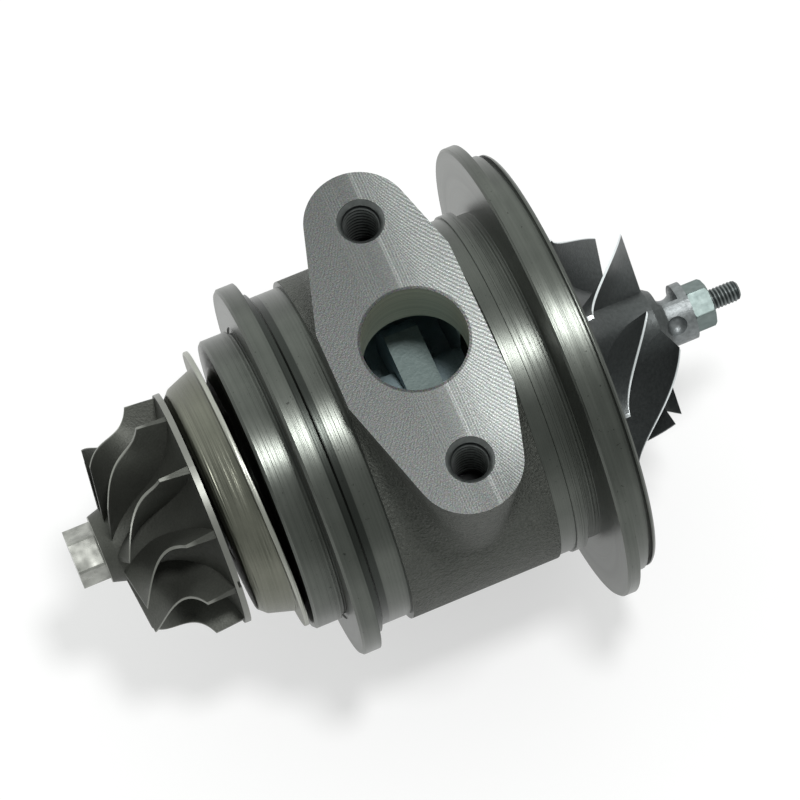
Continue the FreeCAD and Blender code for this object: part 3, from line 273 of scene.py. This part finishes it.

# A face mill forty millimetres in radius passed along the pad on each side. Its strokes run straight beside
# the bore and bend from there outwards. Their colour is lighter at the right, a painted highlight where they
# face the light.
cutter, stroke_pitch, line_pitch = 40.0, 1.05, 0.50
middle_left, middle_right = -25.6, -22.4
strokes_left_x, strokes_right_x = middle_left - 2.6, middle_right + 2.4
lines_left_x, lines_right_x = middle_left - 2.8, middle_right + 2.4
left_strokes_share, left_lines_share = 0.18, 0.6
first_line_left, first_line_right = middle_right - 0.2, middle_right + 0.6
glare_x, glare_spread = -21.5, 5.5
glare_end_y, glare_end_spread, glare_start_y, glare_start_spread = 2.0, 16.0, -26.0, 8.0
mouth_width = 0.45


def strokes(reach):
    """Strokes of the mill as a wave, where reach is the distance from the mill's own axis."""
    bend = (cutter * cutter - reach * reach).most(0.5).root()
    waver = iron.grain(2.0, 2.0) * 5.0
    return ((iron.y + bend) * (2.0 * math.pi / stroke_pitch) + waver).wave()


right_strokes = strokes(iron.x - (middle_right + cutter)) * iron.x.above(strokes_right_x, 0.8)
left_strokes = strokes(iron.x - (middle_left - cutter)) * iron.x.below(strokes_left_x, 0.8)
left_strokes = left_strokes * left_strokes_share
fine_lines = (iron.x * (2.0 * math.pi / line_pitch) + iron.grain(4.0, 1.0) * 2.5).wave()
right_lines = iron.x.between(middle_right, lines_right_x, 0.3)
left_lines = iron.x.between(lines_left_x, middle_left, 0.5) * left_lines_share
marks = (right_strokes + left_strokes + fine_lines * (right_lines + left_lines)).least(1.0)
sparkle = iron.grain(0.24, 3.0).above(0.5, 0.25)
# Painted highlight: the pad's colour is made lighter towards the right and over part of its length.
toward_right = iron.x.above(glare_x, glare_spread)
along_pad = iron.y.below(glare_end_y, glare_end_spread) * 0.40 + 0.60
glare = toward_right * along_pad * iron.y.above(glare_start_y, glare_start_spread)
first_line = iron.x.between(first_line_left, first_line_right, 0.2)
brightness = (glare * 0.140 + 0.100) * (marks * (0.50 + glare * 0.12) + 0.76) * (sparkle * 0.70 + 0.65)
brightness = brightness * (1.0 + first_line * 0.3)
# Painted shade: a narrow ring round the mouth of the bore, on its chamfer, is darkened in colour.
mouth = from_bore.below(bore_radius + mouth_width, 0.1)
black, clean_iron = (0.0, 0.0, 0.0), (0.94, 1.0, 0.97)
coloured_glints = iron.grain(0.4, 1.0, output=1)
pad_colour = iron.mix(brightness * (1.0 - mouth * 0.7), black, clean_iron)
pad_colour = iron.mix(0.04 + glare * 0.03, pad_colour, coloured_glints)

bored_dark, bored_light = (0.16, 0.175, 0.135), (0.56, 0.585, 0.46)
tapped_dark, tapped_light, tap_painted_shade = (0.10, 0.108, 0.105), (0.20, 0.212, 0.21), (0.015, 0.016, 0.016)
shaded_from_z, shaded_spread = 34.0, 4.0
bore_rings = iron.grain(0.22, 2.0, iron.spot(iron.z, from_bore))
bore_colour = iron.mix(bore_rings, bored_dark, bored_light)
tap_colour = iron.mix(smudges, tapped_dark, tapped_light)
# Painted shade: the walls of the drain holes grow darker in colour deeper down.
tap_colour = iron.mix(iron.z.below(shaded_from_z, shaded_spread), tap_colour, tap_painted_shade)
colour = iron.mix(cast, turned_colour, cast_colour)
colour = iron.mix(rib, colour, rib_colour)
colour = iron.mix(pad, colour, pad_colour)
colour = iron.mix(bore, colour, bore_colour)
colour = iron.mix(taps, colour, tap_colour)
turned_height = (fine_rings * 0.030 + rings * 0.050) * turned
cast_height = (sand * 0.75 + lumps * 0.50) * cast * (1.0 - cast_inside * 0.85)
milled_height = (sparkle * 0.015 + marks * 0.025) * pad
iron.set(base_color=colour,
         metallic=0.95 - cast * 0.45 - bore * 0.45 - cast_inside * 0.3,
         roughness=0.27 + bands * 0.06 + stains * 0.04 + cast * 0.26 + pad * 0.12 + bore * 0.08,
         normal=iron.relief(turned_height + cast_height + milled_height + bore_rings * bore * 0.05))
iron.dress("bearing_housing")
soften("bearing_housing", 0.18)


# Threads of the drain holes and of the oil inlet: part of the housing's iron, cut with a tap. Their crests
# stand a little inside the drilled hole, light partly from wear and partly as a painted highlight, and their
# valleys are painted dark as shade.
def thread(name, start, towards, length, root, crest, pitch):
    """A helical ridge on the wall of a round hole or on a rod, as a sleeve. Sizes in millimetres."""
    around, per_turn = 48, 8
    rows = int(length / pitch * per_turn)
    side = towards.orthogonal().normalized()
    other = towards.cross(side)
    corners, faces = [], []
    for row in range(rows + 1):
        for step in range(around):
            turn = step / around
            phase = (row / per_turn - turn) % 1.0
            ridge = 1.0 - abs(2.0 * phase - 1.0)
            fade = min(1.0, row / per_turn, (rows - row) / per_turn)
            radius = root + (crest - root) * ridge * fade
            angle = 2.0 * math.pi * turn
            ring = side * math.cos(angle) + other * math.sin(angle)
            corners.append((start + towards * (row * pitch / per_turn) + ring * radius) / 1000.0)
    for row in range(rows):
        for step in range(around):
            here, there = row * around + step, row * around + (step + 1) % around
            quad = (here, there, there + around, here + around)
            faces.append(quad if crest > root else quad[::-1])
    mesh = bpy.data.meshes.new(name)
    mesh.from_pydata(corners, [], faces)
    mesh.shade_smooth()
    piece = bpy.data.objects.new(name, mesh)
    bpy.context.scene.collection.objects.link(piece)
    return piece


down, upward = Vector((0.0, 0.0, -1.0)), Vector((0.0, 0.0, 1.0))
tap_mouth, tap_depth, tap_ridge, tap_worn, tap_pitch = 0.85, 15.0, 0.35, 0.17, 1.25
inlet_mouth, inlet_depth = Vector((-22.4, 0.0, -37.4)), 11.5
inlet_root, inlet_crest, inlet_pitch = 4.49, 4.15, 1.0
drain_root = tap_radius - 0.01
threads = []
for side_name, reach in (("upper", tap_reach), ("lower", -tap_reach)):
    hole_mouth = Vector((bore_x, reach, pad_z - tap_mouth))
    threads.append(thread(f"drain_thread_{side_name}", hole_mouth, down, tap_depth - tap_mouth,
                          drain_root, drain_root - tap_ridge, tap_pitch))
threads.append(thread("inlet_thread", inlet_mouth, upward, inlet_depth, inlet_root, inlet_crest, inlet_pitch))
valley_shade, crest_shine = (0.05, 0.055, 0.055), (0.50, 0.53, 0.52)
tapped = Finish("tapped_iron", metallic=0.8)
from_hole = tapped.away(bore_x, tap_reach).least(tapped.away(bore_x, -tap_reach))
# Painted highlight on the crests, partly wear, and painted shade in the valleys.
worn_and_highlit_crests = from_hole.below(tap_radius - tap_worn, 0.12) * (0.5 + tapped.grain(0.5, 3.0) * 0.5)
tapped.set(base_color=tapped.mix(worn_and_highlit_crests, valley_shade, crest_shine),
           roughness=0.26 + tapped.grain(0.8, 2.0) * 0.16)
tapped.dress(*threads)
for piece in threads:
    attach(piece, "housing")

# Shaft, thrust parts and pins: ground and turned steel, with fine rings from the wheel. All but the end of
# the shaft are inside the housing.
steel_dark, steel_light = (0.10, 0.115, 0.11), (0.22, 0.235, 0.23)
steel = Finish("ground_steel", metallic=1.0)
steel.set(base_color=steel.mix(steel.turning(0.5), steel_dark, steel_light),
          roughness=0.28 + steel.turning(0.2) * 0.15)
steel.dress("rotor_shaft", "thrust_collar", "thrust_spacer", "flinger_sleeve", "thrust_bearing_pins")

# Thread of the stud: rolled on the end of the steel shaft, past the nut that it carries. Its crests are
# lighter in colour than its valleys.
along_shaft = Vector((1.0, 0.0, 0.0))
stud_start, stud_length = Vector((33.35, 0.0, 0.0)), 5.6
stud_root, stud_crest, stud_pitch, light_crests_from = 1.76, 1.99, 0.7, 1.88
stud_thread = thread("stud_thread", stud_start, along_shaft, stud_length, stud_root, stud_crest, stud_pitch)
# Darker colour in the valleys and lighter on the crests, by radius.
dark_valleys, light_crests = (0.035, 0.042, 0.042), (0.20, 0.22, 0.22)
rolled = Finish("rolled_steel", metallic=1.0)
rolled.set(base_color=rolled.mix(rolled.radius.above(light_crests_from, 0.1), dark_valleys, light_crests),
           roughness=0.30 + rolled.grain(0.5, 3.0) * 0.25)
rolled.dress(stud_thread)
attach(stud_thread, "rotor")

# Bushes and thrust plate: turned bronze. The bushes float in oil between shaft and housing, and two pins keep
# the plate from turning.
bronze_dark, bronze_light = (0.42, 0.27, 0.10), (0.60, 0.40, 0.17)
bronze = Finish("turned_bronze", metallic=1.0)
bronze.set(base_color=bronze.mix(bronze.turning(0.4), bronze_dark, bronze_light),
           roughness=0.25 + bronze.turning(0.2) * 0.2)
bronze.dress("turbine_journal_bearing", "compressor_journal_bearing", "thrust_bearing")

# Snap rings and piston rings: hardened spring steel and lapped iron, black from the quench, sprung into
# grooves of the housing and of the shaft.
quenched_dark, quenched_light = (0.05, 0.05, 0.05), (0.12, 0.12, 0.115)
spring = Finish("spring_steel", metallic=1.0)
spring.set(base_color=spring.mix(spring.grain(2.0), quenched_dark, quenched_light),
           roughness=0.32 + spring.grain(0.6) * 0.2)
spring.dress("bearing_snap_rings", "seal_insert_snap_ring", "turbine_seal_ring", "compressor_seal_ring")

# Seal insert: turned aluminium plate that closes the compressor end behind its wheel, with a moulded rubber
# ring round it.
plate_dark, plate_light = (0.36, 0.37, 0.36), (0.50, 0.51, 0.50)
insert = Finish("turned_aluminium", metallic=1.0)
insert.set(base_color=insert.mix(insert.turning(0.6), plate_dark, plate_light),
           roughness=0.28 + insert.turning(0.2) * 0.15,
           normal=insert.relief(insert.turning(0.3) * 0.03))
insert.dress("seal_insert")
rubber_dark, rubber_light = (0.015, 0.015, 0.015), (0.03, 0.03, 0.03)
rubber = Finish("seal_rubber")
rubber.set(base_color=rubber.mix(rubber.grain(1.0), rubber_dark, rubber_light),
           roughness=0.6 + rubber.grain(0.4) * 0.2)
rubber.dress("seal_insert_oring")

# Heat shield: thin stainless sheet pressed to a dish, satin and a little warm, with a bright sheared rim. It
# lies loose behind the turbine wheel. The oil deflector inside is of the same sheet.
shield_rim = 26.7
sheet_dark, sheet_light, sheared_edge = (0.095, 0.100, 0.080), (0.215, 0.218, 0.180), (0.36, 0.37, 0.33)
sheet = Finish("shield_sheet", metallic=1.0)
sheared = sheet.radius.above(shield_rim, 0.12)
tarnish = sheet.grain(5.0, 4.0)
drawn_rings = sheet.turning(0.45)
pressed = sheet.mix(tarnish * 0.6 + drawn_rings * 0.4, sheet_dark, sheet_light)
sheet_height = drawn_rings * 0.24 + sheet.turning(2.2, 1.0) * 0.8 + sheet.grain(0.3, 2.0) * 0.02
sheet.set(base_color=sheet.mix(sheared, pressed, sheared_edge),
          roughness=0.34 + tarnish * 0.10,
          normal=sheet.relief(sheet_height))
sheet.dress("heat_shield", "oil_deflector")
soften("heat_shield", 0.2)


# Turbine wheel: investment cast heat-resisting alloy, dark and matt, welded to the shaft. The outer edges of
# its blades and the rim of its disc are ground to size, and so is the hexagon that a wrench holds.
def off_contour(finish, ends):
    """Distance in millimetres from the turned outline, a cubic through control points of (x, radius)."""
    samples, past_its_ends = 16, 9.0
    line = []
    for step in range(samples + 1):
        share = step / samples
        rest = 1.0 - share
        weights = (rest ** 3, 3 * rest ** 2 * share, 3 * rest * share ** 2, share ** 3)
        line.append(tuple(sum(w * end[axis] for w, end in zip(weights, ends)) for axis in (0, 1)))
    line.sort()
    low_x, high_x = line[0][0], line[-1][0]
    low_radius, high_radius = min(r for x, r in line), max(r for x, r in line)
    tall = high_radius - low_radius
    curve = [((x - low_x) / (high_x - low_x), (r - low_radius) / tall) for x, r in line]
    along = (finish.x - low_x) / (high_x - low_x)
    drawn = finish.node("ShaderNodeFloatCurve", {"curve": curve}, {"Value": along})
    inside = finish.x.between(low_x - 0.1, high_x + 0.1)
    return abs(finish.radius - (drawn * tall + low_radius)) + (1.0 - inside) * past_its_ends


turbine_rim, inducer_x, wrench_x, ground_width = 22.1, -72.9, -86.4, 0.12
turbine_outline = ((inducer_x, turbine_rim), (-74.5, 18.4), (-76.9, 17.8), (-82.9, 17.8))
skin_dark, skin_light, ground_edge = (0.034, 0.036, 0.031), (0.090, 0.094, 0.082), (0.185, 0.19, 0.172)
wrench_dark, wrench_light = (0.06, 0.062, 0.056), (0.52, 0.53, 0.49)
alloy = Finish("turbine_alloy", metallic=0.6)
ground_tips = off_contour(alloy, turbine_outline).below(ground_width, 0.12)
ground_rim = alloy.radius.above(turbine_rim - ground_width, 0.08) * alloy.x.above(inducer_x - 0.2)
ground = ground_tips.most(ground_rim)
wrench = alloy.x.below(wrench_x)
skin = alloy.grain(0.35, 3.0)
alloy_colour = alloy.mix(skin * 0.6 + alloy.grain(6.0, 2.0) * 0.4, skin_dark, skin_light)
alloy_colour = alloy.mix(ground, alloy_colour, ground_edge)
alloy_colour = alloy.mix(wrench, alloy_colour, alloy.mix(alloy.grain(2.2, 3.0), wrench_dark, wrench_light))
skin_height = skin * (1.0 - ground) * (1.0 - wrench) * 0.06
wrench_height = alloy.grain(3.0, 1.0) * wrench * 0.12
alloy.set(base_color=alloy_colour,
          roughness=0.46 + alloy.grain(1.5) * 0.14 - ground * 0.14 - wrench * 0.24,
          normal=alloy.relief(skin_height + wrench_height))
alloy.dress("turbine_wheel")

# Compressor wheel: cast aluminium with a dark skin, clamped by the nut. The outer edges of its blades are
# turned bright, and scallops are milled out of its nose to balance it.
inlet_x, inlet_radius, exit_x, exit_radius = 21.9, 18.3, 8.5, 24.7
nose_x, nose_radius, tip_width, rim_width = 24.2, 5.7, 0.14, 0.12
compressor_outline = ((inlet_x, inlet_radius), (18.25, inlet_radius), (9.3, 20.2), (exit_x, exit_radius))
blade_dark, blade_light, turned_edge = (0.045, 0.050, 0.050), (0.105, 0.114, 0.114), (0.70, 0.74, 0.75)
nose_dark, nose_light = (0.08, 0.09, 0.092), (0.30, 0.32, 0.325)
light_alloy = Finish("compressor_alloy", metallic=0.7)
trimmed_tips = off_contour(light_alloy, compressor_outline).below(tip_width, 0.12)
trimmed = trimmed_tips.most(light_alloy.radius.above(exit_radius - rim_width, 0.08))
nose = light_alloy.x.above(nose_x, 0.6) * light_alloy.radius.below(nose_radius)
nose_colour = light_alloy.mix(light_alloy.grain(0.9, 3.0), nose_dark, nose_light)
light_colour = light_alloy.mix(light_alloy.grain(0.6, 3.0), blade_dark, blade_light)
light_colour = light_alloy.mix(trimmed, light_colour, turned_edge)
light_colour = light_alloy.mix(nose, light_colour, nose_colour)
light_alloy.set(base_color=light_colour,
                roughness=0.36 + light_alloy.grain(1.5) * 0.16 - trimmed * 0.12,
                normal=light_alloy.relief(light_alloy.grain(0.3, 3.0) * 0.04))
light_alloy.dress("compressor_wheel")

# Nut: small hexagon nut of steel, zinc plated with a faint blue cast. It clamps the compressor wheel on the
# shaft.
zinc_dark, zinc_light = (0.12, 0.152, 0.147), (0.23, 0.275, 0.266)
zinc = Finish("nut_zinc", metallic=1.0)
zinc.set(base_color=zinc.mix(zinc.grain(1.2, 3.0), zinc_dark, zinc_light),
         roughness=0.42 + zinc.grain(0.8) * 0.15)
zinc.dress("shaft_nut")
soften("shaft_nut", 0.12)

# Floor: a pale sheet under the cartridge, as white to the camera and in mirrors as the background of the
# photograph. A little under half of it is still lit by the lamp, so that it keeps the shadow.
floor_z, floor_half = -0.0439, 6.0
floor_corners = [(floor_half * i, floor_half * j, floor_z) for i, j in ((-1, -1), (1, -1), (1, 1), (-1, 1))]
floor_mesh = bpy.data.meshes.new("floor")
floor_mesh.from_pydata(floor_corners, [], [(0, 1, 2, 3)])
floor = bpy.data.objects.new("floor", floor_mesh)
bpy.context.scene.collection.objects.link(floor)
white, pale_grey = (1.0, 1.0, 1.0), (0.85, 0.85, 0.85)
glow_share = 0.55
pale = Finish("pale_floor", roughness=0.9)
pale.sockets["base color"].default_value = (*pale_grey, 1.0)
camera_ray = pale.node("ShaderNodeLightPath", {}, {}, "Is Camera Ray")
glossy_ray = pale.node("ShaderNodeLightPath", {}, {}, "Is Glossy Ray")
transmission_ray = pale.node("ShaderNodeLightPath", {}, {}, "Is Transmission Ray")
seen = camera_ray.most(glossy_ray).most(transmission_ray)
lit = Level(pale, pale.shader.outputs[0])
glow = pale.node("ShaderNodeEmission", {}, {"Color": white, "Strength": 1.0})
both = pale.node("ShaderNodeMixShader", {}, {0: seen * glow_share, 1: lit, 2: glow})
pale.connect(both, pale.tree.nodes["Material Output"].inputs["Surface"])
pale.dress(floor)

# Light: one small soft lamp overhead draws the streaks on the turned bands, and the surround grows lighter
# towards the back.
key_direction = Vector((0.12, -0.05, 0.99)).normalized()
key_distance, key_size, key_power = 0.80, 0.13, 4.4
key = bpy.data.objects.new("key_lamp", bpy.data.lights.new("key_lamp", "AREA"))
key.data.shape = "DISK"
key.data.size = key_size
key.data.energy = key_power
key.matrix_world = (Matrix.Translation(aim + key_direction * key_distance)
                    @ key_direction.to_track_quat("Z", "Y").to_matrix().to_4x4())
bpy.context.scene.collection.objects.link(key)
front, rear = (0.50, 0.515, 0.50), (1.34, 1.37, 1.34)
world = bpy.data.worlds.new("studio")
world.use_nodes = True
surround = Nodes(world.node_tree)
towards_rear = surround.split(surround.node("ShaderNodeTexCoord", {}, {}, "Generated"))[1]
shade = surround.mix(towards_rear.above(0.45, 0.65), front, rear)
surround.connect(shade, world.node_tree.nodes["Background"].inputs["Color"])
bpy.context.scene.world = world
